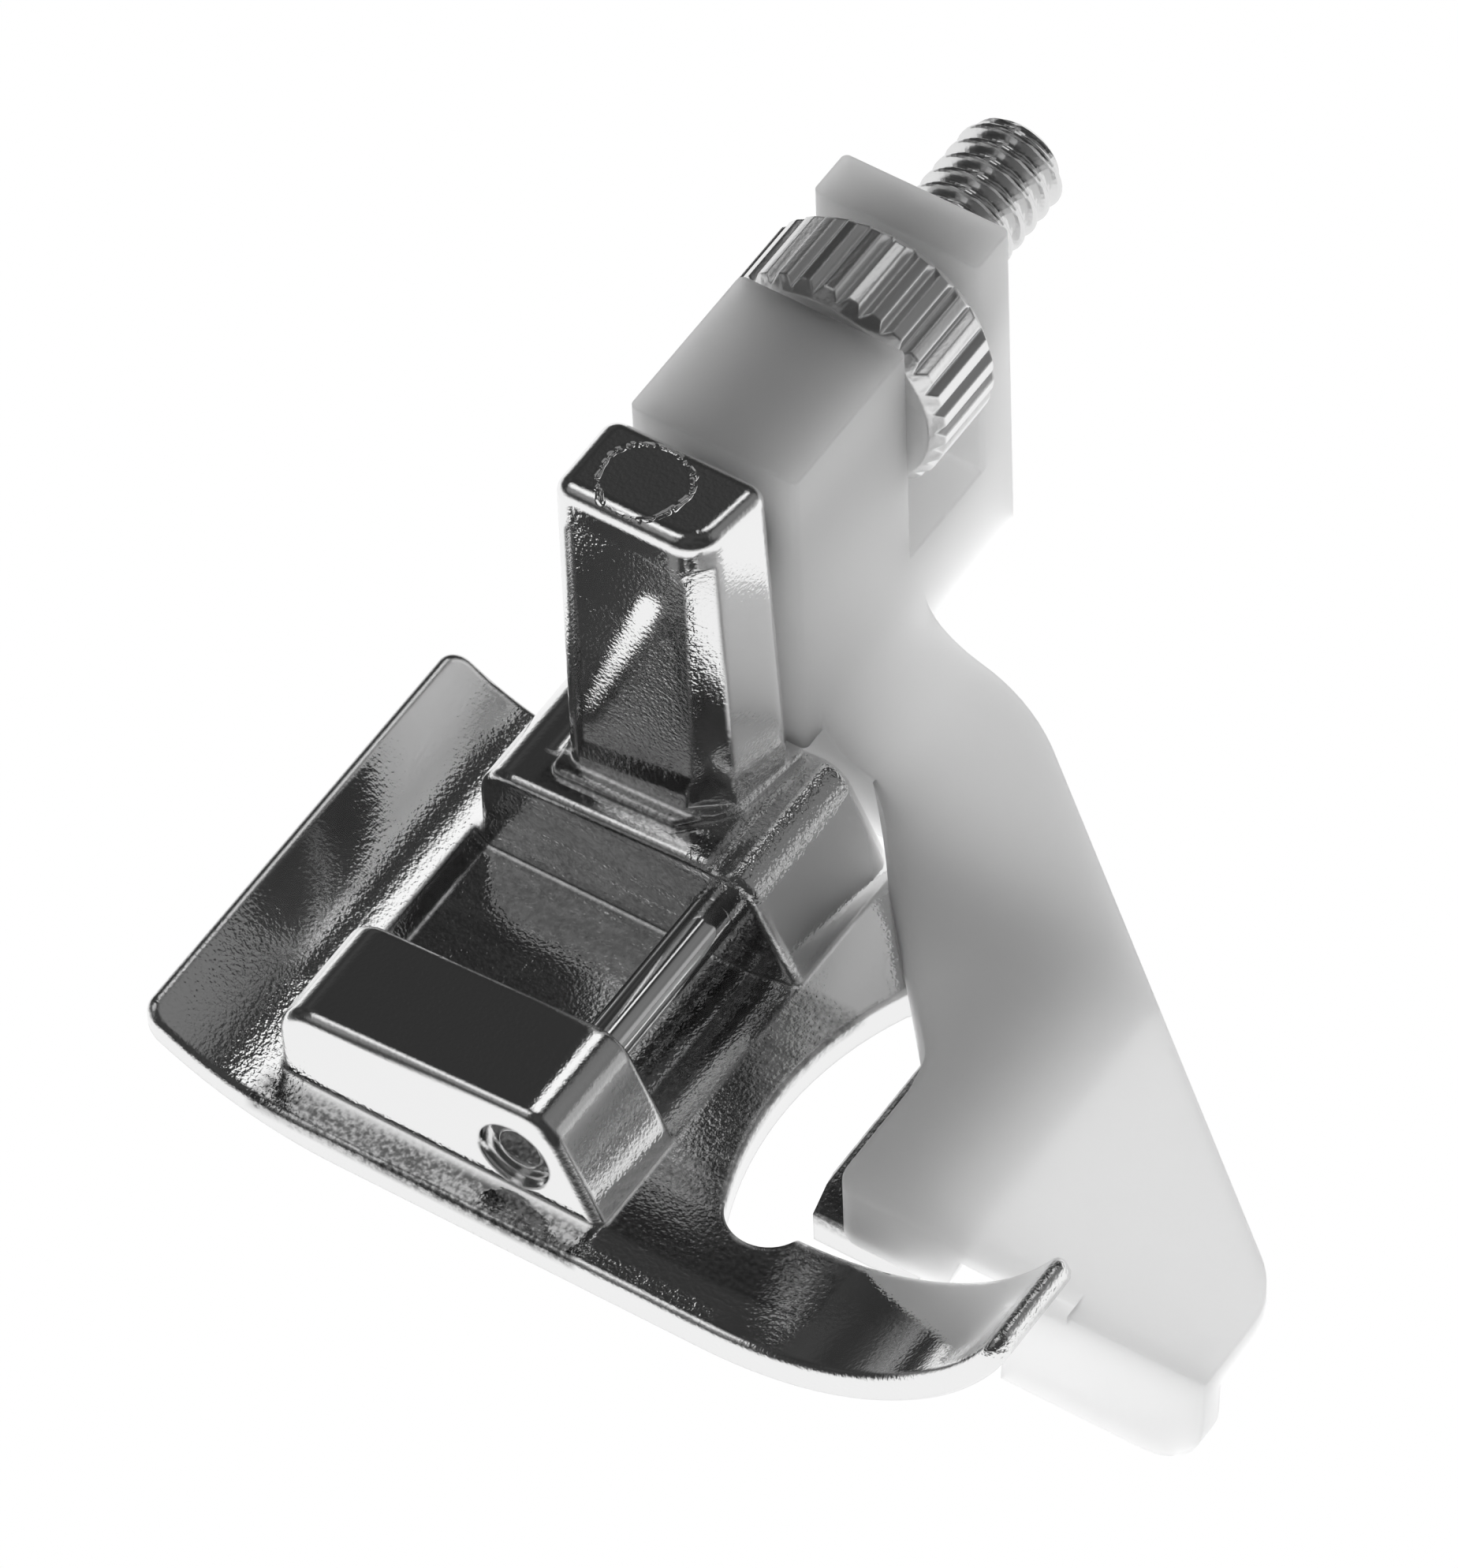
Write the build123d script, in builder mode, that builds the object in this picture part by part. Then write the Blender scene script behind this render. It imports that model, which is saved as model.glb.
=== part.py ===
from build123d import *
import os
from math import cos, radians, sin, tan

os.makedirs("parts", exist_ok=True)

# An adjustable blind hem foot for a sewing machine.
# Millimetres. +X is the operator's right, +Y the back, +Z up.
# The origin lies on the sole's underside, straight below the middle of the cross pin.

# Sole: a plate that ramps up and thins at the back
sole_t = 1.4
sole_left = -10.3
sole_right = 9.2
sole_back = 14.5
ramp_start = 6.5
ramp_radius = 14.0
ramp_top_start = 8.1
ramp_top_radius = 10.0
sole_corner_r = 0.8
sole_edge_r = 0.3
sole_foot_chamfer = 0.15

# Ski toe: the plate curls up at the front left and thins towards its tip
ski_start = -8.6
ski_radius = 13.8
ski_top_start = -8.9
ski_top_radius = 12.9
ski_sweep = 63.5
toe_inner = -5.3
toe_tip_r = 0.9
toe_end_y = -24.0

# Needle slot: curved at the back, open to the front through a narrow gap
slot_left = -6.45
slot_right = 5.95
slot_bend = 5.3
slot_crown_x = 0.6
slot_crown_y = -5.45
slot_end_y = -6.9
slot_front_y = -8.85
slot_notch_y = -9.5
slot_corner_r = 0.6
slot_chamfer = 0.15

# Short bar in front of the slot
bar_left = -4.2
bar_corner_y = -9.3
bar_right = 9.9
bar_front_y = -13.4
bar_left_r = 0.8
bar_right_r = 1.6

# Cheeks: the two walls that hold the cross pin
pin_gap = 7.7
cheek_left = -8.64
cheek_right = 10.45
cheek_back = 9.8
cheek_foot_y = -3.5
cheek_foot = 0.8
cheek_top_front = 5.75
cheek_top_back = 5.1
cheek_front_lean = 25.5
cheek_front_r = 1.6
cheek_back_r = 1.5
cheek_left_r = 0.4
cheek_right_r = 0.8
cheek_inner_r = 0.35
valley_y = -0.15
valley_r = 0.8
valley_depth = 0.2

# Recess between the cheeks
recess_floor = 0.9
recess_back = 10.0
recess_ramp_y = -1.5
recess_top = 8.0

# Cross pin
pin_r = 0.85
pin_z = 3.15
pin_sink = 0.4
pin_end = 7.8
pin_counterbore_r = 1.45

# Post on the right cheek: it leans in as it rises, and its front is turned a little
post_left = 5.35
post_right_top = 9.25
post_right_foot = 9.6
post_front_left_top = 1.0
post_front_left_foot = 0.8
post_front_right_top = 0.5
post_front_right_foot = 0.05
post_back = 7.1
post_top = 20.35
post_foot = 4.7
post_corner_r = 0.7
post_front_corner_r = 1.4
post_top_r = 0.6

# Flat facet and sunken panel on the post's left
sunk = 0.2
facet_crease_y = 1.8
facet_turn = 52.0
facet_w = 1.64
facet_top = 18.9
facet_foot = 6.1
facet_end_r = 0.8
panel_back = 6.45
panel_top = 18.75
panel_dip = 18.1
panel_dip_start = 3.6
panel_corner_r = 0.6
panel_foot_back = 6.9
panel_foot_front = 7.7
panel_slope = 0.8

# Plinth under the post, and the fillet behind the post
plinth_h = 0.35
plinth_sink = 0.5
plinth_left = 4.75
plinth_right = 10.1
plinth_front = -0.05
plinth_back = 7.4
plinth_corner_r = 0.5
plinth_chamfer = 0.12
flare = 1.1

# Adjusting screw: a rod fixed in the post, with a free right-hand end
rod_r = 2.06
rod_y = 3.5
rod_z = 16.2
rod_start = 6.6
rod_end = 29.6
rod_chamfer = 0.5

# Thumb wheel on the screw, caught between the guide's two ears
wheel_r = 4.7
wheel_start = 16.98
wheel_w = 3.95
wheel_chamfer = 0.45
wheel_bore_r = rod_r + 0.05
flute_count = 30
flute_r = 0.38
flute_sink = 0.28

# Hem guide: two ears, a web between them, and an arm that ends in a fin
guide_start = 9.75
ear_gap_start = 16.75
ear_gap_end = 21.3
guide_end = 23.35
ear_front = -0.1
ear_back = 6.7
ear_top = 20.3
ear_edge_r = 0.25
pocket_floor = 9.6
web_floor = 5.05
web_foot_r = 0.6
ear_bore_r = rod_r + 0.09
body_left = 10.85
body_right = 17.4
shoulder_clear_z = 6.15
arm_top = 4.8
arm_floor = 1.75
arm_skin = 1.1
arm_front = -26.0
arm_back = -10.5
arm_left = -4.8
arm_thin_y = -14.5
arm_sweep_r = 2.45
arm_edge_r = 0.5
arm_nose_r = 3.6
housing_gap = 0.35
fin_left = -5.55
fin_lean = 0.35
fin_w = 1.05
fin_foot = 0.05
fin_back = -18.0
fin_notch_y = -20.5
fin_nose_r = 2.4
toe_gap = 0.45


def curl_point(start, floor, radius, angle):
    """A point of an arc, as (y, z), that curls up and forwards from where it lies level."""
    return (start - radius * sin(radians(angle)), floor + radius - radius * cos(radians(angle)))


def ramp_z(start, floor, radius, y):
    """Height at y of an arc that lies level at start and rises towards the back."""
    return floor + radius - (radius ** 2 - (y - start) ** 2) ** 0.5


def cheek_front_y(z):
    """Where the cheeks' leaning front face stands at a height."""
    return cheek_foot_y + (z - sole_t) * tan(radians(cheek_front_lean))


def cheek_top_z(y):
    """Height of the cheeks' sloping top."""
    share = (y - cheek_front_y(cheek_top_front)) / (cheek_back - cheek_front_y(cheek_top_front))
    return cheek_top_front + share * (cheek_top_back - cheek_top_front)


def nearest(corners, x, y):
    """The corner of a sketch that lies nearest to a point of its plane."""
    return corners.sort_by_distance((x, y, 0))[0]


# Plan of the sole, with the needle slot, the ski toe and the short bar right of it
with BuildSketch() as sole_plan:
    with BuildLine():
        Polyline(
            (-slot_bend, slot_notch_y), (toe_inner, toe_end_y), (sole_left, toe_end_y),
            (sole_left, sole_back), (sole_right, sole_back), (sole_right, cheek_back + 0.6),
            (cheek_right, cheek_back), (cheek_right, cheek_foot_y), (bar_right, bar_front_y),
            (bar_left, bar_front_y), (bar_left, bar_corner_y), (bar_left + 2, slot_front_y),
            (slot_right, slot_front_y), (slot_right, slot_end_y),
        )
        ThreePointArc((slot_right, slot_end_y), (slot_crown_x, slot_crown_y), (-slot_bend, slot_crown_y - 1))
        ThreePointArc((-slot_bend, slot_crown_y - 1), (slot_left, -8.0), (-slot_bend, slot_notch_y))
    make_face()
    for x, y, r in (
        (slot_right, slot_end_y, slot_corner_r), (slot_right, slot_front_y, slot_corner_r),
        (bar_left, bar_front_y, bar_left_r), (bar_right, bar_front_y, bar_right_r),
        (sole_left, sole_back, sole_corner_r), (sole_right, sole_back, sole_corner_r),
    ):
        fillet(nearest(vertices(), x, y), radius=r)

# The cheeks: one block with rounded edges, then the gap between them
cheek_top_y = cheek_front_y(cheek_top_front)
with BuildPart() as cheeks:
    with BuildSketch(Plane.YZ.offset(cheek_left)):
        with BuildLine():
            Polyline(
                (cheek_front_y(cheek_foot), cheek_foot), (cheek_top_y, cheek_top_front),
                (cheek_back, cheek_top_back), (cheek_back, cheek_foot),
                (cheek_front_y(cheek_foot), cheek_foot),
            )
        make_face()
        fillet(nearest(vertices(), cheek_top_y, cheek_top_front), radius=cheek_front_r)
        fillet(nearest(vertices(), cheek_back, cheek_top_back), radius=cheek_back_r)
    extrude(amount=cheek_right - cheek_left)
    for side, r in ((0, cheek_left_r), (-1, cheek_right_r)):
        fillet(faces().filter_by(Axis.X).sort_by(Axis.X)[side].edges().sort_by(Axis.Z)[1:], radius=r)
    with BuildSketch(Plane.YZ.offset(-pin_gap / 2)):
        with Locations((cheek_back, recess_top)):
            Rectangle(4 * cheek_back, 4 * recess_top)
    extrude(amount=pin_gap, mode=Mode.SUBTRACT)
    for side in (1, 2):
        inner = faces().filter_by(Axis.X).sort_by(Axis.X)[side]
        fillet(inner.edges().sort_by(Axis.Z)[1:], radius=cheek_inner_r)
    # Valley behind the rounded front of the right cheek
    with BuildSketch(Plane.YZ.offset(0)):
        with Locations((valley_y, cheek_top_z(valley_y) + valley_r - valley_depth)):
            Circle(valley_r)
    extrude(amount=cheek_right + 1, mode=Mode.SUBTRACT)

# The post: tapered, with a sunken facet on its front left corner and a sunken panel beside it
with BuildPart() as post:
    for z, right, front_left, front_right in (
        (post_foot, post_right_foot, post_front_left_foot, post_front_right_foot),
        (post_top, post_right_top, post_front_left_top, post_front_right_top),
    ):
        with BuildSketch(Plane.XY.offset(z)):
            with BuildLine():
                Polyline(
                    (post_left, front_left), (right, front_right), (right, post_back),
                    (post_left, post_back), (post_left, front_left),
                )
            make_face()
    loft()
    front_corner = edges().filter_by(lambda e: e.length > 10).sort_by_distance((post_left, 0, post_foot))[0]
    fillet(front_corner, radius=post_front_corner_r)
    square_corners = edges().filter_by(lambda e: e.length > 10 and e.center().Y > 3)
    square_corners += edges().filter_by(lambda e: e.length > 10 and e.center().X > 8 and e.center().Y < 1)
    fillet(square_corners, radius=post_corner_r)
    fillet(faces().sort_by(Axis.Z)[-1].edges(), radius=post_top_r)
    # Facet
    turn = radians(facet_turn)
    facet_plane = Plane(
        origin=(post_left + sunk, facet_crease_y, 0),
        x_dir=(cos(turn), -sin(turn), 0), z_dir=(-sin(turn), -cos(turn), 0),
    )
    with BuildSketch(facet_plane):
        with BuildLine():
            Polyline(
                (-sunk, facet_foot), (facet_w, facet_foot), (facet_w, facet_top), (-sunk, facet_top),
                (-sunk, facet_foot),
            )
        make_face()
        fillet(vertices().group_by(Axis.Y)[-1], radius=facet_end_r)
    extrude(amount=3, mode=Mode.SUBTRACT)
    # Panel, with a sloping lower end
    for depth, drop in ((sunk, 0), (-sunk, 2 * panel_slope)):
        with BuildSketch(Plane.YZ.offset(post_left + depth)):
            with BuildLine():
                Polyline(
                    (facet_crease_y, panel_dip), (facet_crease_y, panel_foot_front - drop),
                    (panel_back, panel_foot_back - drop), (panel_back, panel_top),
                    (panel_dip_start, panel_top),
                )
                TangentArc((panel_dip_start, panel_top), (facet_crease_y, panel_dip), tangent=(-1, 0))
            make_face()
            fillet(nearest(vertices(), panel_back, panel_top), radius=panel_corner_r)
    loft(mode=Mode.SUBTRACT)

# The plinth follows the post's foot and the slope of the cheek
with BuildPart() as plinth:
    with BuildSketch():
        with BuildLine():
            Polyline(
                (plinth_left, plinth_back), (plinth_left, facet_crease_y + 0.3), (plinth_left + 1.65, 0.45),
                (plinth_right, plinth_front), (plinth_right, plinth_back), (plinth_left, plinth_back),
            )
        make_face()
        fillet(vertices(), radius=plinth_corner_r)
    extrude(amount=cheek_top_front + 1)
    with BuildSketch(Plane.YZ.offset(plinth_left - 1)):
        with BuildLine():
            Polyline(
                (-1, cheek_top_z(-1) - plinth_sink), (-1, cheek_top_z(-1) + plinth_h),
                (plinth_back + 1, cheek_top_z(plinth_back + 1) + plinth_h),
                (plinth_back + 1, cheek_top_z(plinth_back + 1) - plinth_sink),
                (-1, cheek_top_z(-1) - plinth_sink),
            )
        make_face()
    extrude(amount=plinth_right - plinth_left + 2, mode=Mode.INTERSECT)
    chamfer(faces().sort_by(Axis.Z)[-1].edges(), length=plinth_chamfer)
    # Hollow fillet behind the post
    flare_foot = cheek_top_z(post_back + flare)
    with BuildSketch(Plane.YZ.offset(post_left + post_corner_r / 2)):
        with BuildLine():
            Polyline(
                (post_back, flare_foot + flare), (post_back - 1, flare_foot + flare),
                (post_back - 1, flare_foot - plinth_sink), (post_back + flare, flare_foot - plinth_sink),
                (post_back + flare, flare_foot),
            )
            RadiusArc((post_back + flare, flare_foot), (post_back, flare_foot + flare), flare)
        make_face()
    extrude(amount=post_right_foot - post_left - post_corner_r)

# The casting: sole, cheeks and post are one piece of metal
with BuildPart() as foot_casting:
    # Sole: its side view swept across its width
    ramp_end = (sole_back, ramp_z(ramp_start, 0, ramp_radius, sole_back))
    ramp_top_end = (sole_back, ramp_z(ramp_top_start, sole_t, ramp_top_radius, sole_back))
    with BuildSketch(Plane.YZ.offset(sole_left)):
        with BuildLine():
            Line((ski_start, sole_t), (ramp_top_start, sole_t))
            TangentArc((ramp_top_start, sole_t), ramp_top_end, tangent=(1, 0))
            Line(ramp_top_end, ramp_end)
            TangentArc((ramp_start, 0), ramp_end, tangent=(1, 0))
            Polyline((ramp_start, 0), (ski_start, 0), (ski_start, sole_t))
        make_face()
    extrude(amount=cheek_right - sole_left)
    # The short bar stays level
    with BuildSketch(Plane.YZ.offset(bar_left - 0.6)):
        with BuildLine():
            Polyline(
                (slot_front_y + 1, sole_t), (bar_front_y - 1, sole_t), (bar_front_y - 1, 0),
                (slot_front_y + 1, 0), (slot_front_y + 1, sole_t),
            )
        make_face()
    extrude(amount=cheek_right - bar_left + 0.6)
    # Toe: the same plate, curled up, then all of it cut to the plan
    with BuildSketch(Plane.YZ.offset(sole_left)):
        with BuildLine():
            Polyline((ski_top_start, sole_t), (ski_start, sole_t), (ski_start, 0))
            ThreePointArc(
                (ski_start, 0), curl_point(ski_start, 0, ski_radius, ski_sweep / 2),
                curl_point(ski_start, 0, ski_radius, ski_sweep),
            )
            Line(
                curl_point(ski_start, 0, ski_radius, ski_sweep),
                curl_point(ski_top_start, sole_t, ski_top_radius, ski_sweep),
            )
            ThreePointArc(
                curl_point(ski_top_start, sole_t, ski_top_radius, ski_sweep),
                curl_point(ski_top_start, sole_t, ski_top_radius, ski_sweep / 2), (ski_top_start, sole_t),
            )
        make_face()
    extrude(amount=bar_left - 0.6 - sole_left)
    extrude(sole_plan.sketch, amount=toe_end_y * -1, mode=Mode.INTERSECT)
    # Round the corners of the toe's tip, then the plate's edges from there all round the back
    tip = faces().sort_by(Axis.Y)[0]
    fillet(tip.edges().filter_by(Axis.X, reverse=True), radius=toe_tip_r)
    fillet(edges().filter_by(Axis.X).sort_by(Axis.Z)[-1], radius=sole_edge_r)
    chamfer(edges().filter_by(Axis.X).sort_by(Axis.Y)[0], length=sole_foot_chamfer)
    slot_rim = edges().filter_by(lambda e: e.center().Z > sole_t - 0.01)
    chamfer(slot_rim.sort_by_distance((slot_crown_x, slot_crown_y, sole_t))[0], length=slot_chamfer)
    add(cheeks.part)
    # Recess floor, with a ramp down from the slot
    with BuildSketch(Plane.YZ.offset(-pin_gap / 2)):
        with BuildLine():
            Polyline(
                (cheek_foot_y, sole_t), (recess_ramp_y, recess_floor), (recess_back - 0.5, recess_floor),
                (recess_back, recess_floor + 0.5), (recess_back, recess_top), (cheek_foot_y, recess_top),
                (cheek_foot_y, sole_t),
            )
        make_face()
    extrude(amount=pin_gap, mode=Mode.SUBTRACT)
    add(plinth.part)
    add(post.part)
    # Holes for the pin and for the adjusting screw
    for start, y, z, radius, length in (
        (cheek_left, 0, pin_z, pin_r, pin_end - cheek_left),
        (cheek_left, 0, pin_z, pin_counterbore_r, pin_sink),
        (rod_start, rod_y, rod_z, rod_r, 4),
    ):
        with BuildSketch(Plane.YZ.offset(start)):
            with Locations((y, z)):
                Circle(radius)
        extrude(amount=length, mode=Mode.SUBTRACT)

foot_casting.part.label = "foot_casting"
export_step(foot_casting.part, "parts/foot_casting.step")

# The pin that a holder grips
with BuildPart() as cross_pin:
    with BuildSketch(Plane.YZ.offset(cheek_left + pin_sink)):
        with Locations((0, pin_z)):
            Circle(pin_r)
    extrude(amount=pin_end - cheek_left - pin_sink)

cross_pin.part.label = "cross_pin"
export_step(cross_pin.part, "parts/cross_pin.step")

# The screw, fixed in the post
with BuildPart() as adjusting_screw:
    with BuildSketch(Plane.YZ.offset(rod_start)):
        with Locations((rod_y, rod_z)):
            Circle(rod_r)
    extrude(amount=rod_end - rod_start)
    chamfer(faces().sort_by(Axis.X)[-1].edges(), length=rod_chamfer)

adjusting_screw.part.label = "adjusting_screw"
export_step(adjusting_screw.part, "parts/adjusting_screw.step")

# The thumb wheel: a nut with fine flutes around its rim
with BuildPart() as thumb_wheel:
    with BuildSketch(Plane.YZ.offset(wheel_start)):
        with Locations((rod_y, rod_z)):
            Circle(wheel_r)
            Circle(wheel_bore_r, mode=Mode.SUBTRACT)
    extrude(amount=wheel_w)
    circles = edges().filter_by(GeomType.CIRCLE)
    chamfer(circles.filter_by(lambda e: abs(e.radius - wheel_r) < 0.01), length=wheel_chamfer)
    with BuildSketch(Plane.YZ.offset(wheel_start - 1)):
        with Locations((rod_y, rod_z)):
            with PolarLocations(wheel_r + flute_r - flute_sink, flute_count):
                RegularPolygon(flute_r, 4)
    extrude(amount=wheel_w + 2, mode=Mode.SUBTRACT)

thumb_wheel.part.label = "thumb_wheel"
export_step(thumb_wheel.part, "parts/thumb_wheel.step")

# The guide's fin, which leans a little
with BuildPart() as fin:
    fin_top = arm_top - 0.4
    with BuildSketch(Plane.XZ.offset(-fin_back)):
        with BuildLine():
            Polyline(
                (fin_left, fin_top), (fin_left + fin_w, fin_top), (fin_left + fin_w - fin_lean, fin_foot),
                (fin_left - fin_lean, fin_foot), (fin_left, fin_top),
            )
        make_face()
    extrude(amount=fin_back - arm_front)
    fillet(edges().filter_by(Axis.X).group_by(Axis.Y)[0].sort_by(Axis.Z)[0], radius=fin_nose_r)

# The arm's plan, with its top swept up into the ears' front face
with BuildPart() as arm:
    with BuildSketch(Plane.XY.offset(arm_floor)):
        with BuildLine():
            Polyline(
                (arm_left, arm_back), (arm_left, fin_notch_y), (fin_left, fin_notch_y), (fin_left, arm_front),
                (-0.95, arm_front), (15.0, -7.07),
            )
            ThreePointArc((15.0, -7.07), (16.75, -4.2), (body_right, -1.0))
            Polyline((body_right, -1.0), (body_right, 1.0), (body_left, 1.0), (body_left, -2.0))
            ThreePointArc((body_left, -2.0), (10.05, -3.0), (8.92, -3.97))
            Polyline((8.92, -3.97), (1.7, -10.2), (0.15, arm_back), (arm_left, arm_back))
        make_face()
        for x, y, r in ((-0.95, arm_front, arm_nose_r), (1.7, -10.2, 1.6), (arm_left, arm_back, 1.0)):
            fillet(nearest(vertices(), x, y), radius=r)
    extrude(amount=pocket_floor - 0.5 - arm_floor)
    with BuildSketch(Plane.YZ.offset(fin_left - 1)):
        with BuildLine():
            Polyline(
                (ear_front, arm_top + arm_sweep_r), (ear_front, 14), (-30, 14), (-30, arm_top),
                (ear_front - arm_sweep_r, arm_top),
            )
            RadiusArc(
                (ear_front - arm_sweep_r, arm_top), (ear_front, arm_top + arm_sweep_r), -arm_sweep_r
            )
        make_face()
    extrude(amount=30, mode=Mode.SUBTRACT)
    left_rim = edges().filter_by(lambda e: abs(e.center().Z - arm_top) < 0.01 and e.center().X < 6)
    left_rim = left_rim.filter_by(lambda e: e.center().Y > fin_notch_y + 0.1)
    fillet(left_rim, radius=arm_edge_r)
    # Thin in front
    with BuildSketch(Plane.YZ.offset(fin_left - 1)):
        with BuildLine():
            Polyline(
                (arm_thin_y, 0), (arm_thin_y - 1.2, arm_top - arm_skin), (-30, arm_top - arm_skin), (-30, 0),
                (arm_thin_y, 0),
            )
        make_face()
    extrude(amount=30, mode=Mode.SUBTRACT)

# The guide: one moulding
with BuildPart() as hem_guide:
    with BuildSketch(Plane.XZ.offset(-ear_back)):
        with BuildLine():
            Polyline(
                (guide_start, ear_top), (ear_gap_start, ear_top), (ear_gap_start, pocket_floor),
                (ear_gap_end, pocket_floor), (ear_gap_end, ear_top), (guide_end, ear_top),
                (guide_end, web_floor), (body_right, web_floor), (body_right, arm_floor),
                (body_left, arm_floor), (body_left, shoulder_clear_z), (guide_start, shoulder_clear_z),
                (guide_start, ear_top),
            )
        make_face()
        fillet(nearest(vertices(), body_right, web_floor), radius=web_foot_r)
    extrude(amount=ear_back - ear_front)
    upright = edges().filter_by(Axis.Z).filter_by(lambda e: e.center().Z > pocket_floor)
    fillet(upright, radius=ear_edge_r)
    add(arm.part)
    add(fin.part)
    # Room for the cheeks, with the post's plinth above them
    with BuildSketch(Plane.YZ.offset(cheek_left)):
        lean_gap = housing_gap / cos(radians(cheek_front_lean))
        with BuildLine():
            Polyline(
                (cheek_foot_y - lean_gap, 0), (cheek_foot_y - lean_gap, sole_t),
                (cheek_front_y(shoulder_clear_z) - lean_gap, shoulder_clear_z), (12, shoulder_clear_z),
                (12, 0), (cheek_foot_y - lean_gap, 0),
            )
        make_face()
    extrude(amount=body_left - cheek_left, mode=Mode.SUBTRACT)
    # Room for the toe
    with BuildSketch(Plane.YZ.offset(sole_left - 1)):
        with Locations((ski_start, ski_radius)):
            Circle(ski_radius + toe_gap)
    extrude(amount=toe_inner + 0.4 - sole_left + 1, mode=Mode.SUBTRACT)
    # Bores for the screw
    with BuildSketch(Plane.YZ.offset(guide_start - 1)):
        with Locations((rod_y, rod_z)):
            Circle(ear_bore_r)
    extrude(amount=guide_end - guide_start + 2, mode=Mode.SUBTRACT)

hem_guide.part.label = "hem_guide"
export_step(hem_guide.part, "parts/hem_guide.step")
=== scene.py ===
# %% [markdown]
# An adjustable blind hem foot for a sewing machine: a chromed casting with a ski toe and a post, a screw
# with a fluted thumb wheel, and a milky nylon guide. The CAD holds every shape that fits or moves. This
# script dresses those shapes, cuts the screw's fine thread, and lights the whole like a small thing on a
# light table. The frame comes first, because everything else is placed from it.

# %% The frame
from math import cos, pi, radians, sin

import bpy
from mathutils import Matrix, Vector


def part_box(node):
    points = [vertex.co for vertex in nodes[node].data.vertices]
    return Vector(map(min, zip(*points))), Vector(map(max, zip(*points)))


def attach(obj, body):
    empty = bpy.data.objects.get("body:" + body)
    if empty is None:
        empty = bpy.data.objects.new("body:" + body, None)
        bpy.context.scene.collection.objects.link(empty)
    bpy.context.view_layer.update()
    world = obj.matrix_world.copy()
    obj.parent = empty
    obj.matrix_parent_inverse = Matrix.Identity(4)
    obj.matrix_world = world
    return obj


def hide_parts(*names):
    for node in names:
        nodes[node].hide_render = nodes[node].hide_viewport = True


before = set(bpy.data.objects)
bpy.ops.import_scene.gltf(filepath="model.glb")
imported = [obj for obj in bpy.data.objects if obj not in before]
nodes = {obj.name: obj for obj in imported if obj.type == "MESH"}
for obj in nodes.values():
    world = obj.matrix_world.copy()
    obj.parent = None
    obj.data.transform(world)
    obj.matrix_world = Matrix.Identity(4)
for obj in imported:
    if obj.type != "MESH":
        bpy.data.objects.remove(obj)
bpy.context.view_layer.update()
MM = 0.001

# %% [markdown]
# The photograph looks down on the foot from its front left, from so far away that parallel edges stay
# almost parallel. A long lens far off gives that. The camera is built from its own three directions: back
# towards the eye, right, and up, with a small roll about the line of sight.

# %% Camera
IMAGE_WIDTH, IMAGE_HEIGHT = 1849, 1988
FOCAL_PX = 20000.0
PX_PER_MM = 37.0
AZIMUTH, ELEVATION, ROLL = radians(-55.0), radians(50.5), radians(-2.45)
AIM = Vector((3.7605, -0.9885, 11.0561)) * MM

to_eye = Vector((sin(AZIMUTH) * cos(ELEVATION), -cos(AZIMUTH) * cos(ELEVATION), sin(ELEVATION)))
level_right = Vector((cos(AZIMUTH), sin(AZIMUTH), 0))
level_up = to_eye.cross(level_right)
cam_right = level_right * cos(ROLL) + level_up * sin(ROLL)
cam_up = level_up * cos(ROLL) - level_right * sin(ROLL)

camera_data = bpy.data.cameras.new("photo_camera")
camera_data.lens = FOCAL_PX / IMAGE_HEIGHT * camera_data.sensor_width
camera_data.clip_start = 0.01
camera_data.clip_end = 10
camera = bpy.data.objects.new("photo_camera", camera_data)
turn = Matrix((cam_right, cam_up, to_eye)).transposed().to_4x4()
camera.matrix_world = Matrix.Translation(AIM + to_eye * FOCAL_PX / PX_PER_MM * MM) @ turn
bpy.context.scene.collection.objects.link(camera)
bpy.context.scene.camera = camera
bpy.context.scene.view_settings.view_transform = "Standard"
print("lens", round(camera_data.lens, 1), "mm")


# %% [markdown]
# Every finish is a small tree of nodes, and so is the thread. These helpers keep the trees short: `add`
# makes one node, sets its inputs and links what is passed as a socket, `math` is one line of arithmetic,
# and `ramp` is a soft step.

# %% Helpers for node trees
class Tree:
    """A node tree with short calls for making and linking nodes."""

    def __init__(self, tree):
        self.tree = tree

    def add(self, kind, inputs=None, **settings):
        node = self.tree.nodes.new(kind)
        for name, value in settings.items():
            setattr(node, name, value)
        for key, value in (inputs or {}).items():
            if isinstance(value, bpy.types.NodeSocket):
                self.tree.links.new(value, node.inputs[key])
            else:
                node.inputs[key].default_value = value
        return node

    def math(self, operation, *values):
        return self.add("ShaderNodeMath", dict(enumerate(values)), operation=operation).outputs[0]

    def ramp(self, value, low, high, to_low=0.0, to_high=1.0):
        """A smooth step from to_low to to_high as value goes from low to high."""
        inputs = {"Value": value, "From Min": low, "From Max": high, "To Min": to_low, "To Max": to_high}
        return self.add("ShaderNodeMapRange", inputs, interpolation_type="SMOOTHSTEP").outputs[0]


def new_material(name):
    """A material with an empty node tree and an output, as (material, tree, output)."""
    material = bpy.data.materials.new(name)
    material.use_nodes = True
    material.node_tree.nodes.clear()
    tree = Tree(material.node_tree)
    return material, tree, tree.add("ShaderNodeOutputMaterial")


def dress(node, material):
    """Gives a CAD node one material."""
    slots = nodes[node].material_slots
    if not slots:
        nodes[node].data.materials.append(material)
    for slot in slots:
        slot.material = material
    print(node, "is", material.name)


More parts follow.
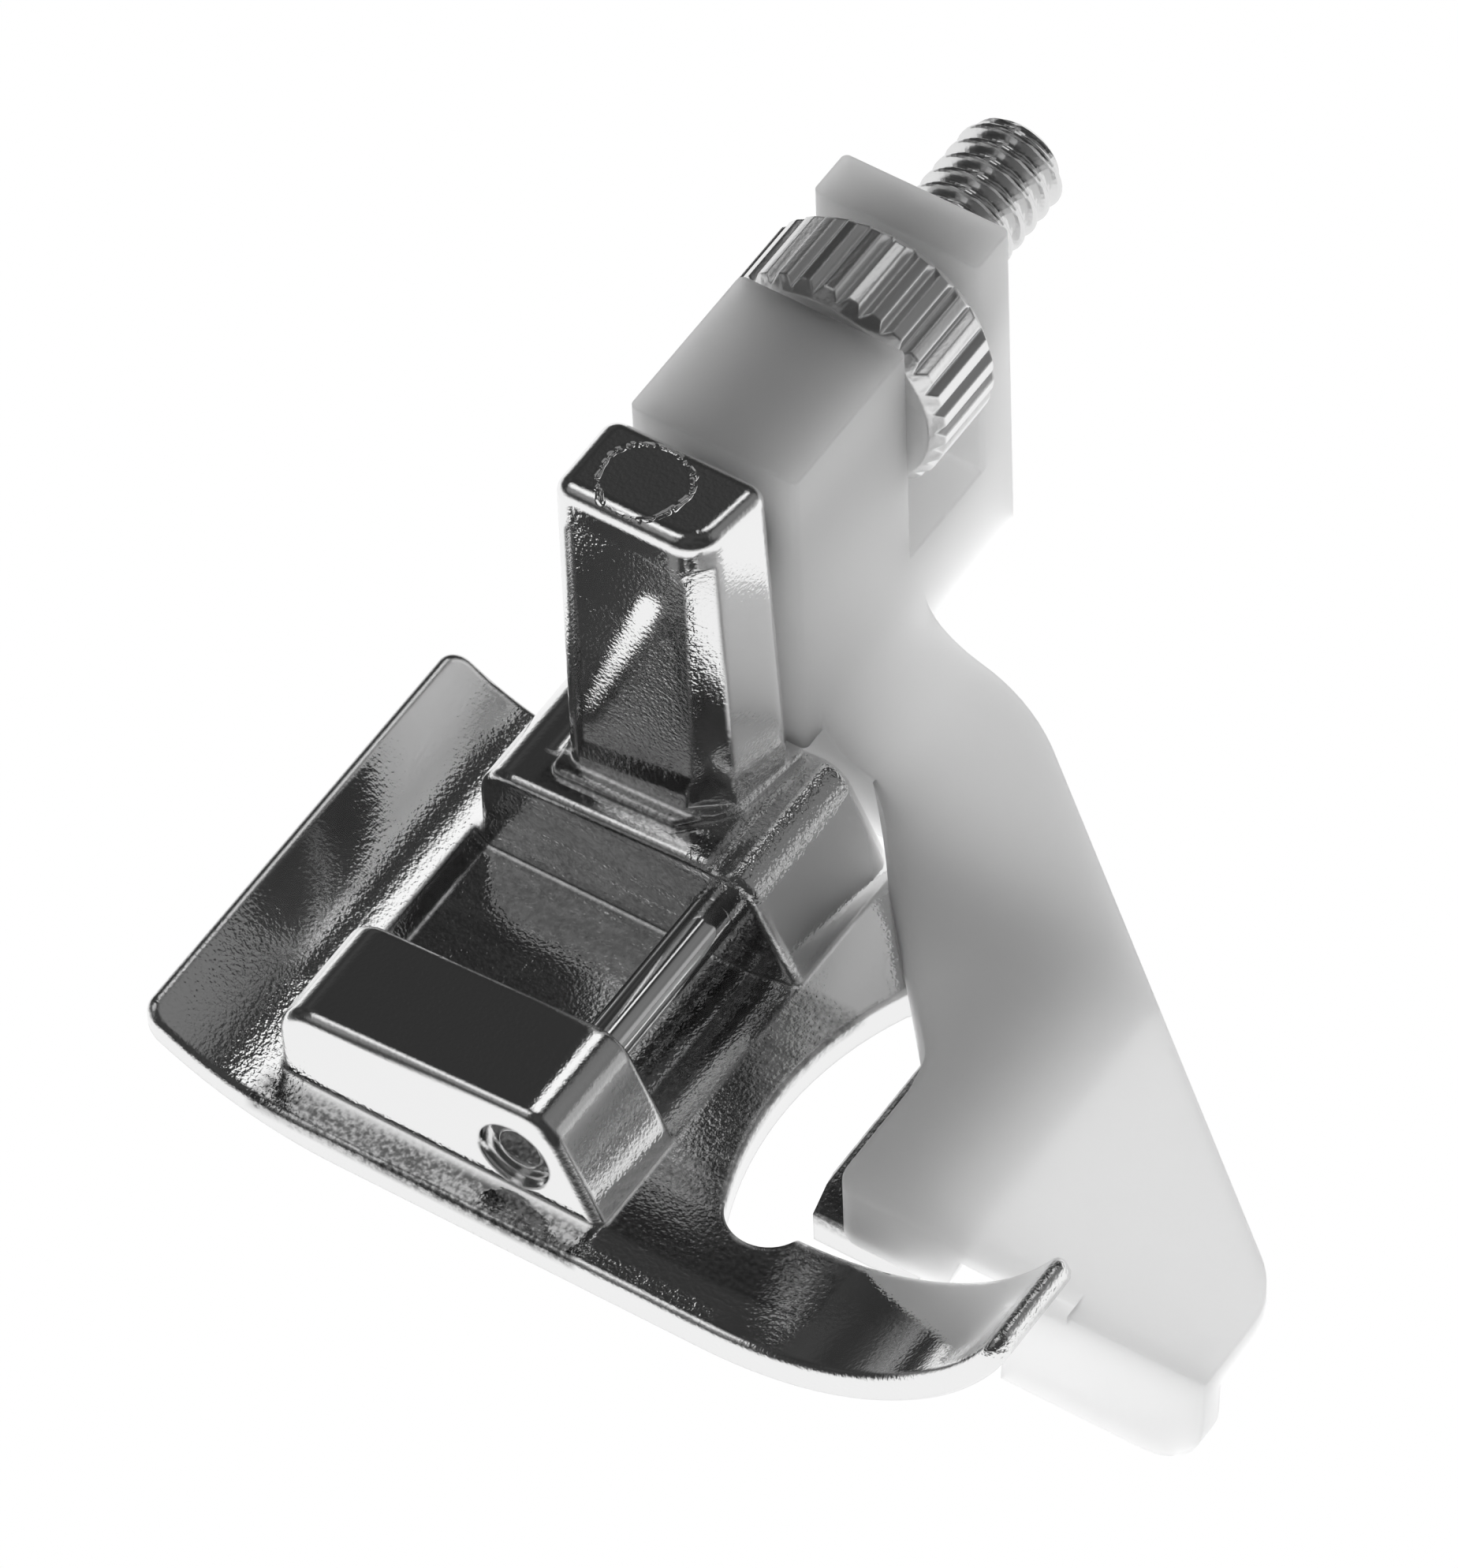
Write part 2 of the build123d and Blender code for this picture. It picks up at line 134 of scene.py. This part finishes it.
# %% [markdown]
# Chrome shows its surroundings and hardly any colour of its own, so the surroundings are the finish. The
# foot lies on a white light table in a dark room. Faces that look down at the table turn white and level
# faces turn almost black. Soft lamps draw the bright lines along the rounded edges, and the dark between
# two lamps draws the dark line between two bright ones. The sky is one formula of direction: a dark and
# slightly uneven room, a faint glow just above the horizon, and the lamps.

# %% Surroundings
SKY_DARK = 0.05
HORIZON_GLOW = 0.30
SKY_LAMPS = (
    # direction, degrees to the edge of full light, degrees to where it ends, brightness
    # the bright line along the left edges
    ((-0.17, 0.37, 0.91), 10, 15, 1.30),
    # a weak glow in the recess and low in the post's panel
    ((-0.62, 0.37, 0.69), 8, 17, 0.27),
    # the bright line along the front edges
    ((0.52, 0.09, 0.85), 7, 11, 1.30),
    # the mid-grey of the leaning fronts and the ramp
    ((0.52, -0.66, 0.55), 20, 34, 0.17),
    # a paler grey where the fronts are steep
    ((0.52, -0.84, 0.15), 8, 18, 0.30),
)

world = bpy.data.worlds.new("room")
bpy.context.scene.world = world
world.use_nodes = True
world.node_tree.nodes.clear()
sky = Tree(world.node_tree)
direction = sky.add("ShaderNodeTexCoord").outputs["Generated"]
height = sky.add("ShaderNodeSeparateXYZ", {0: direction}).outputs["Z"]
clutter = sky.add("ShaderNodeTexNoise", {"Vector": direction, "Scale": 3.5, "Detail": 0.0}).outputs[0]
light = sky.ramp(clutter, 0.3, 0.7, 0.8 * SKY_DARK, 1.4 * SKY_DARK)
light = sky.math("ADD", light, sky.ramp(height, 0.02, 0.2, HORIZON_GLOW, 0.0))
for where, full, end, strength in SKY_LAMPS:
    facing = sky.add(
        "ShaderNodeVectorMath", {0: direction, 1: Vector(where).normalized()}, operation="DOT_PRODUCT"
    ).outputs["Value"]
    light = sky.math("ADD", sky.ramp(facing, cos(radians(end)), cos(radians(full)), 0.0, strength), light)
room = sky.add("ShaderNodeBackground", {"Strength": light})
backdrop = sky.add("ShaderNodeBackground", {"Strength": 1.0})
is_camera = sky.add("ShaderNodeLightPath").outputs["Is Camera Ray"]
both = sky.add("ShaderNodeMixShader", {0: is_camera, 1: room.outputs[0], 2: backdrop.outputs[0]})
sky.add("ShaderNodeOutputWorld", {0: both.outputs[0]})
print("sky with", len(SKY_LAMPS), "lamps")

# %% [markdown]
# The light table is one glowing sheet, so wide that every face that looks down finds it. It isn't part of
# the foot.

# %% The light table
TABLE_HALF = 1.5
table_mesh = bpy.data.meshes.new("light_table")
corners = [(x * TABLE_HALF, y * TABLE_HALF, 0) for x, y in ((-1, -1), (1, -1), (1, 1), (-1, 1))]
table_mesh.from_pydata(corners, [], [(0, 1, 2, 3)])
table = bpy.data.objects.new("light_table", table_mesh)
bpy.context.scene.collection.objects.link(table)
glow, tree, out = new_material("table_glow")
tree.tree.links.new(tree.add("ShaderNodeEmission", {"Strength": 1.0}).outputs[0], out.inputs[0])
table_mesh.materials.append(glow)
print("light table", 2 * TABLE_HALF, "m wide")


# %% [markdown]
# The nylon also needs light that chrome doesn't mirror: one wide weak lamp from the front left, and one that
# lies on the table and shines up through the guide's arm.

# %% Lamps for the nylon
def area_lamp(name, size, watts, where, towards):
    """A square lamp that only rough surfaces see."""
    lamp_data = bpy.data.lights.new(name, "AREA")
    lamp_data.size = size
    lamp_data.energy = watts
    lamp = bpy.data.objects.new(name, lamp_data)
    lamp.visible_glossy = False
    lamp.visible_camera = False
    lamp.location = where
    lamp.rotation_euler = (Vector(where) - Vector(towards)).to_track_quat("Z", "Y").to_euler()
    bpy.context.scene.collection.objects.link(lamp)
    print(name, watts, "W")


area_lamp("ceiling_lamp", size=0.25, watts=0.22, where=(-0.10, -0.20, 0.35), towards=(0, 0, 0))
area_lamp("table_lamp", size=0.20, watts=0.03, where=(0, 0, 0.0002), towards=(0, 0, 0.1))


# %% [markdown]
# The casting is polished, then chromed, but the polishing wheel doesn't reach everywhere, so its finish
# differs from place to place. Masks tell the shader where it is, and also where shade is painted into the
# colour. They read Object coordinates, which stay on the piece when it moves. One is a box with soft sides,
# one a slanting line on the post's left panel, and one the faint uneven ring that is raised on the post's
# top.
# The last helper isn't a mask: it is the uneven grain laid over the painted shade, so that it isn't flat.

# %% Masks by place
BOX_FADE = 0.25
CREASE_FADE = 0.8
RING_WOBBLE = 0.5
RING_LINE = 0.16


def box_mask(tree, axes, low, high, strength, fade=BOX_FADE):
    """strength inside a box given in mm, falling to 0 outside it."""
    inside = strength
    for axis, start, end in zip(axes, low, high):
        enter = tree.ramp(axis, (start - fade) * MM, (start + fade) * MM)
        leave = tree.ramp(axis, (end - fade) * MM, (end + fade) * MM, 1.0, 0.0)
        inside = tree.math("MULTIPLY", inside, tree.math("MULTIPLY", enter, leave))
    return inside


def crease_mark(tree, axes, low, high, start, end, width, strength):
    """strength along a slanting line between two points (y, z) in mm, inside a box, and 0 off it."""
    slant = (end[0] - start[0]) / (end[1] - start[1])
    across = tree.math("MULTIPLY_ADD", axes[2], -slant, (slant * start[1] - start[0]) * MM)
    off = tree.math("ABSOLUTE", tree.math("ADD", axes[1], across))
    line = tree.ramp(off, 0.0, width * MM, 1.0, 0.0)
    return tree.math("MULTIPLY", line, box_mask(tree, axes, low, high, strength, CREASE_FADE))


def ring_mark(tree, axes, place, x, y, z, radius):
    """1 on an uneven ring about a point, in mm, and 0 off it."""
    across = tree.math("SUBTRACT", axes[0], x * MM)
    along = tree.math("SUBTRACT", axes[1], y * MM)
    square = tree.math("ADD", tree.math("MULTIPLY", across, across), tree.math("MULTIPLY", along, along))
    wobble = tree.add("ShaderNodeTexNoise", {"Vector": place, "Scale": 900.0, "Detail": 2.0}).outputs[0]
    wanted = tree.math("MULTIPLY_ADD", wobble, RING_WOBBLE * MM, (radius - RING_WOBBLE / 2) * MM)
    off = tree.math("ABSOLUTE", tree.math("SUBTRACT", tree.math("SQRT", square), wanted))
    line = tree.ramp(off, 0.0, RING_LINE * MM, 1.0, 0.0)
    beads = tree.add("ShaderNodeTexNoise", {"Vector": place, "Scale": 3500.0, "Detail": 1.0}).outputs[0]
    line = tree.math("MULTIPLY", line, tree.ramp(beads, 0.35, 0.6, 0.1, 1.0))
    return tree.math("MULTIPLY", line, tree.ramp(axes[2], (z - 0.2) * MM, (z - 0.05) * MM))


def mottle(tree, place):
    """Fine uneven lines along Y with specks, from 0.55 to 1.35."""
    lines = tree.add("ShaderNodeVectorMath", {0: place, 1: (1, 0.12, 1)}, operation="MULTIPLY").outputs[0]
    lines = tree.add("ShaderNodeTexNoise", {"Vector": lines, "Scale": 1400.0, "Detail": 3.0}).outputs[0]
    specks = tree.add("ShaderNodeTexNoise", {"Vector": place, "Scale": 5000.0, "Detail": 1.0}).outputs[0]
    return tree.ramp(tree.math("ADD", lines, specks), 0.75, 1.25, 0.55, 1.35)


print("box sides fade over", 2 * BOX_FADE, "mm")

# %% [markdown]
# Chrome is a mirror, and its character is in how its surface leans, so one shader does every metal here. The
# Bevel node rounds the shading of each sharp edge, and the edges catch the lamps. Where a real face seems to
# lean or fold a little and the solid is flat, a mask leans the normal upwards. Bumps follow, from large to
# fine: slow waves, streaks of the polishing wheel, dimples of the cast skin, and the ring. Last, shade is
# painted into the colour of some places, which makes them greyer.

# %% Chrome
WAVE_SCALE, WAVE_HEIGHT = 550.0, 0.03
STREAK_SCALE, STREAK_HEIGHT = 1500.0, 0.12
DIMPLE_SCALE, DIMPLE_HEIGHT = 6500.0, 0.02
RING_HEIGHT = 0.08


def chrome(
    name, tint, roughness, edge, dimples, waves=0.2, rough=(), streaks=(), stretch=(1, 0.05, 1), painted_shade=(),
    draft=(), crease=None, ring=None,
):
    """Metal with edges rounded by edge mm. rough, streaks, draft and the places of painted shade are lists of
    boxes in mm; the painted shade darkens the colour there.
    """
    material, tree, out = new_material(name)
    place = tree.add("ShaderNodeTexCoord").outputs["Object"]
    axes = tree.add("ShaderNodeSeparateXYZ", {0: place}).outputs
    normal = tree.add("ShaderNodeBevel", {"Radius": edge * MM}, samples=6).outputs[0]

    def bump(height, distance, strength=1.0):
        inputs = {"Height": height, "Strength": strength, "Distance": distance * MM, "Normal": normal}
        return tree.add("ShaderNodeBump", inputs).outputs[0]

    def lumps(scale, stretch=None):
        where = place
        if stretch:
            where = tree.add("ShaderNodeVectorMath", {0: place, 1: stretch}, operation="MULTIPLY").outputs[0]
        return tree.add("ShaderNodeTexNoise", {"Vector": where, "Scale": scale, "Detail": 1.5}).outputs[0]

    def masked(base, boxes):
        for low, high, strength in boxes:
            base = tree.math("MAXIMUM", base, box_mask(tree, axes, low, high, strength))
        return base

    if draft or crease:
        lean = masked(0.0, draft)
        if crease:
            lean = tree.math("ADD", lean, crease_mark(tree, axes, *crease))
        lean = tree.add("ShaderNodeCombineXYZ", {2: lean}).outputs[0]
        normal = tree.add("ShaderNodeVectorMath", {0: normal, 1: lean}, operation="ADD").outputs[0]
        normal = tree.add("ShaderNodeVectorMath", {0: normal}, operation="NORMALIZE").outputs[0]
    normal = bump(lumps(WAVE_SCALE), WAVE_HEIGHT, waves)
    if streaks:
        normal = bump(lumps(STREAK_SCALE, stretch), STREAK_HEIGHT, masked(0.0, streaks))
    normal = bump(lumps(DIMPLE_SCALE), DIMPLE_HEIGHT, masked(dimples, rough))
    if ring:
        normal = bump(ring_mark(tree, axes, place, *ring), RING_HEIGHT)
    shader = tree.add("ShaderNodeBsdfPrincipled", {
        "Base Color": (tint, tint, tint, 1), "Metallic": 1.0, "Roughness": roughness, "Normal": normal,
    })
    # painted shade: the colour is darkened in the given boxes, unevenly by the mottle's grain
    if painted_shade:
        shade = tree.math("SUBTRACT", 1.0, tree.math("MULTIPLY", masked(0.0, painted_shade), mottle(tree, place)))
        tree.tree.links.new(tree.math("MULTIPLY", shade, tint), shader.inputs["Base Color"])
    tree.tree.links.new(shader.outputs[0], out.inputs[0])
    print("chrome", name)
    return material


# %% [markdown]
# Now the casting's own places, in millimetres: the lowest corner, the highest corner and the strength. Rough
# places sparkle, streaked places carry the wheel's lines, and painted shade makes the shaded places greyer.

# %% The casting's chrome
ROUGH_PLACES = (
    # the left of the ramp
    ((-11, 8.4, -1), (-5, 15, 4), 0.9),
    # the ledge left of the left cheek
    ((-11, -9, 0.5), (-9.3, 9, 2.0), 0.8),
    # the recess
    ((-4.2, -6.5, 0.5), (4.2, 10.5, 6), 0.6),
    # the crest of the right cheek
    ((3.8, -3.0, 4.7), (11, 1.2, 7), 2.0),
    # the post's left side
    ((5.0, 0.0, 6.0), (5.8, 7.5, 19), 0.8),
    # the lower part of the post's panel
    ((4.6, 2.2, 7.0), (6.4, 7.0, 15.0), 1.3),
    # the toe's tip
    ((-11, -22, 6.4), (-5, -19.7, 9), 1.6),
    # the sole's left side
    ((-11, -20, -0.5), (-10.15, 15, 8), 1.5),
)
STREAKED_PLACES = (
    # the ledge
    ((-11, -3.4, 1.0), (-8.8, 7, 1.5), 1.0),
    # the right cheek's inner face
    ((3.5, -3, 1), (3.95, 10, 6), 0.5),
)
# painted shade: these places get a darker colour, in the recess and at the feet of the cheeks and the post
PAINTED_SHADE_PLACES = (
    # the recess
    ((-4.1, -2.5, 0.5), (4.1, 10, 5.2), 0.3),
    # the ledge
    ((-11, -3.4, 1.05), (-8.9, 10, 2.0), 0.62),
    # the plinth's left side
    ((4.3, 0.0, 5.0), (5.3, 7.6, 6.3), 0.4),
    # the foot of the post's panel
    ((4.8, 0.8, 6.4), (5.9, 7.2, 12), 0.1),
    # the sole in front of the cheeks
    ((-8.5, -12, 1.0), (4.0, -3.6, 1.8), 0.4),
)
LEANING_FACE = (((-9, -4, 1.0), (-8.5, 10, 5.2), 0.46),)
PANEL_CREASE = ((4.0, 2.6, 8.0), (6.6, 6.6, 16.6), (6.04, 8.96), (3.22, 16.17), 0.9, 0.27)
POST_RING = (7.1, 4.4, 20.35, 1.65)
cast_chrome = chrome(
    "cast_chrome", tint=0.86, roughness=0.08, edge=0.25, dimples=0.3, rough=ROUGH_PLACES,
    streaks=STREAKED_PLACES, painted_shade=PAINTED_SHADE_PLACES, draft=LEANING_FACE, crease=PANEL_CREASE, ring=POST_RING,
)
dress("foot_casting", cast_chrome)

# %% [markdown]
# The pin, the wheel and the screw take the same shader with fewer marks. The pin is polished, and the other
# two are satin. The wheel's faint streaks run along its flutes.

# %% The pin, the wheel and the screw
WHEEL_STREAKS = (((15, -3, 10), (23, 10, 22), 0.5),)
dress("cross_pin", chrome("polished_pin", tint=0.85, roughness=0.07, edge=0.05, dimples=0.05))
plated_wheel = chrome(
    "plated_wheel", tint=0.85, roughness=0.28, edge=0.14, dimples=0.3, streaks=WHEEL_STREAKS,
    stretch=(0.06, 1, 1),
)
dress("thumb_wheel", plated_wheel)
thread_metal = chrome("plated_thread", tint=0.75, roughness=0.22, edge=0.03, dimples=0.2)

# %% [markdown]
# The screw's thread follows one rule, so Geometry Nodes cuts it. A flat grid is rolled into a tube: one
# side of the grid runs along the screw and the other once round it. The radius at each point comes from
# how far along a turn of the helix it lies, so the groove winds by itself. The grid's first and last rows
# shrink to a point on the axis and close the ends.


# %% The thread's tree
def thread_tree(rows, around):
    """A tree that makes a threaded rod along +X, in metres."""
    group = bpy.data.node_groups.new("cut_thread", "GeometryNodeTree")
    tree = Tree(group)
    for name, kind in (
        ("Start", "NodeSocketVector"), ("Length", "NodeSocketFloat"), ("Radius", "NodeSocketFloat"),
        ("Depth", "NodeSocketFloat"), ("Pitch", "NodeSocketFloat"), ("Chamfer", "NodeSocketFloat"),
        ("Metal", "NodeSocketMaterial"),
    ):
        group.interface.new_socket(name, in_out="INPUT", socket_type=kind)
    group.interface.new_socket("Rod", in_out="OUTPUT", socket_type="NodeSocketGeometry")
    given = tree.add("NodeGroupInput").outputs
    grid = tree.add("GeometryNodeMeshGrid", {
        "Size X": rows + 2.0, "Size Y": 1.0, "Vertices X": rows + 3, "Vertices Y": around + 1,
    }).outputs["Mesh"]
    at = tree.add("ShaderNodeSeparateXYZ", {0: tree.add("GeometryNodeInputPosition").outputs[0]}).outputs
    row = tree.math("ADD", at[0], rows / 2)
    turn = tree.math("ADD", at[1], 0.5)
    level = tree.math("MINIMUM", tree.math("MAXIMUM", row, 0.0), float(rows))
    along = tree.math("MULTIPLY", tree.math("DIVIDE", level, float(rows)), given["Length"])
    phase = tree.math("SUBTRACT", tree.math("DIVIDE", along, given["Pitch"]), turn)
    from_crest = tree.math("ABSOLUTE", tree.math("MULTIPLY_ADD", tree.math("FRACT", phase), 2.0, -1.0))
    groove = tree.math("MULTIPLY", tree.ramp(from_crest, 0.1, 0.9), given["Depth"])
    radius = tree.math("SUBTRACT", given["Radius"], groove)
    to_end = tree.math("SUBTRACT", given["Length"], along)
    cone = tree.math("ADD", tree.math("SUBTRACT", given["Radius"], given["Chamfer"]), to_end)
    radius = tree.math("MINIMUM", radius, cone)
    begun = tree.math("GREATER_THAN", row, -0.5)
    shown = tree.math("MULTIPLY", begun, tree.math("LESS_THAN", row, rows + 0.5))
    radius = tree.math("MULTIPLY", radius, shown)
    angle = tree.math("MULTIPLY", turn, 2 * pi)
    spot = tree.add("ShaderNodeCombineXYZ", {
        0: along,
        1: tree.math("MULTIPLY", radius, tree.math("COSINE", angle)),
        2: tree.math("MULTIPLY", radius, tree.math("SINE", angle)),
    }).outputs[0]
    spot = tree.add("ShaderNodeVectorMath", {0: spot, 1: given["Start"]}, operation="ADD").outputs[0]
    rod = tree.add("GeometryNodeSetPosition", {"Geometry": grid, "Position": spot}).outputs[0]
    rod = tree.add("GeometryNodeMergeByDistance", {"Geometry": rod, "Distance": 1e-6}).outputs[0]
    rod = tree.add("GeometryNodeFlipFaces", {"Mesh": rod}).outputs[0]
    bend = tree.add("GeometryNodeInputMeshEdgeAngle").outputs["Unsigned Angle"]
    soft = tree.math("LESS_THAN", bend, 0.7)
    rod = tree.add(
        "GeometryNodeSetShadeSmooth", {"Geometry": rod, "Shade Smooth": soft}, domain="EDGE"
    ).outputs[0]
    rod = tree.add("GeometryNodeRealizeInstances", {"Geometry": rod}).outputs[0]
    rod = tree.add("GeometryNodeSetMaterial", {"Geometry": rod, "Material": given["Metal"]}).outputs[0]
    tree.add("NodeGroupOutput", {"Rod": rod})
    return group


# %% [markdown]
# The rod's place and size come from the frame, so the thread lies exactly where the plain rod does and takes
# its place. The modifier's result is turned into a plain mesh.

# %% Cutting the thread
PITCH = 0.8
THREAD_DEPTH = 0.42
END_CHAMFER = 0.5
POINTS_ROUND = 48
ROWS_PER_TURN = 12
low, high = (corner * 1000 for corner in map(Vector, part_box("adjusting_screw")))
length = high.x - low.x
rows = round(length / PITCH * ROWS_PER_TURN)
thread = bpy.data.objects.new("screw_thread", bpy.data.meshes.new("screw_thread"))
bpy.context.scene.collection.objects.link(thread)
modifier = thread.modifiers.new("thread", "NODES")
modifier.node_group = thread_tree(rows, POINTS_ROUND)
values = {
    "Start": Vector((low.x, (low.y + high.y) / 2, (low.z + high.z) / 2)) * MM, "Length": length * MM,
    "Radius": (high.y - low.y) / 2 * MM, "Depth": THREAD_DEPTH * MM, "Pitch": PITCH * MM,
    "Chamfer": END_CHAMFER * MM, "Metal": thread_metal,
}
for item in modifier.node_group.interface.items_tree:
    if item.in_out == "INPUT":
        modifier[item.identifier] = values[item.name]
bpy.context.view_layer.update()
plain = bpy.data.meshes.new_from_object(thread.evaluated_get(bpy.context.evaluated_depsgraph_get()))
thread.modifiers.clear()
thread.data = plain
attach(thread, "foot")
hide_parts("adjusting_screw")
print("thread of", len(plain.polygons), "faces,", round(length / PITCH, 1), "turns")

# %% [markdown]
# The guide is natural nylon. Light goes in, wanders about and comes out elsewhere, so the thin arm over the
# light table glows white and the thick ears, lit from above only, stay grey. Subsurface scattering does
# just that, and needs only how far the light wanders.


# %% Nylon
def nylon():
    material, tree, out = new_material("natural_nylon")
    place = tree.add("ShaderNodeTexCoord").outputs["Object"]
    skin = tree.add("ShaderNodeTexNoise", {"Vector": place, "Scale": 900.0, "Detail": 2.0}).outputs[0]
    rounded = tree.add("ShaderNodeBevel", {"Radius": 0.25 * MM}, samples=6).outputs[0]
    bumped = tree.add(
        "ShaderNodeBump", {"Height": skin, "Strength": 0.15, "Distance": 0.00002, "Normal": rounded}
    ).outputs[0]
    shader = tree.add("ShaderNodeBsdfPrincipled", {
        "Base Color": (0.975, 0.975, 0.975, 1), "Roughness": 0.5, "Normal": bumped,
        "Subsurface Weight": 1.0, "Subsurface Radius": (1, 1, 1), "Subsurface Scale": 0.009,
    })
    tree.tree.links.new(shader.outputs[0], out.inputs[0])
    return material


dress("hem_guide", nylon())
